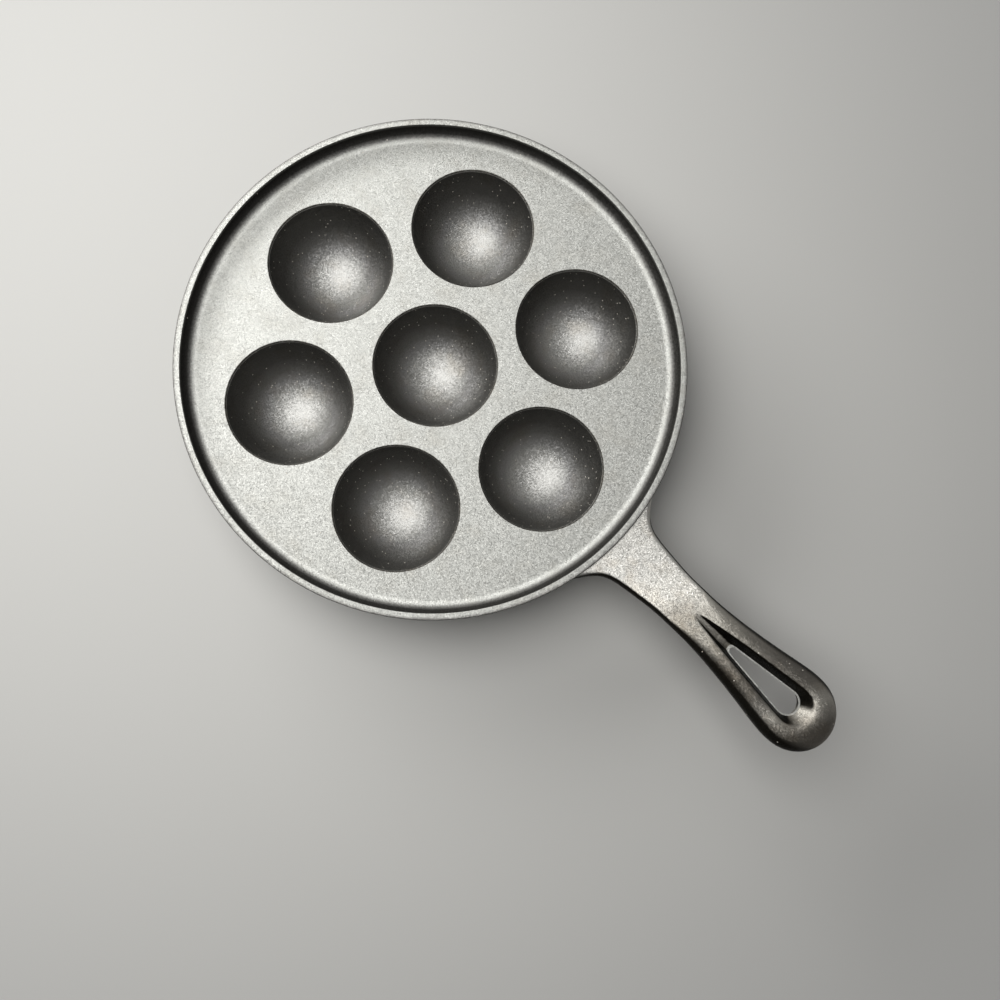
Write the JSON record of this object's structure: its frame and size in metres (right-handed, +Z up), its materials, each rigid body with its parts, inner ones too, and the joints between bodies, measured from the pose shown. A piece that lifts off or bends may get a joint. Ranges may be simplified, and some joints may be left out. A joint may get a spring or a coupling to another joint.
{
  "type": "aebleskiver pan",
  "caption": "Round cast-iron pan for spherical pancakes: bowl-shaped cups in a flat plate, a low raised rim and a short handle with a teardrop hanging slot.",
  "frame": {"origin": "on the surface that the pan stands on, below the middle of the centre cup, where its small flat foot rests", "axes": "+Z up out of the cups, +X along the handle towards its round end, +Y to the left of the handle seen from above"},
  "size_m": [0.3506, 0.23, 0.0484],
  "materials": {
    "seasoned_iron": "oil-seasoned satin black with a fine cast grain"
  },
  "bodies": {
    "root": {"cooking_plate": "seasoned_iron", "raised_rim": "seasoned_iron", "cup_centre": "seasoned_iron", "cup_1": "seasoned_iron", "cup_2": "seasoned_iron", "cup_3": "seasoned_iron", "cup_4": "seasoned_iron", "cup_5": "seasoned_iron", "cup_6": "seasoned_iron", "handle": "seasoned_iron"}
  },
  "joints": []
}
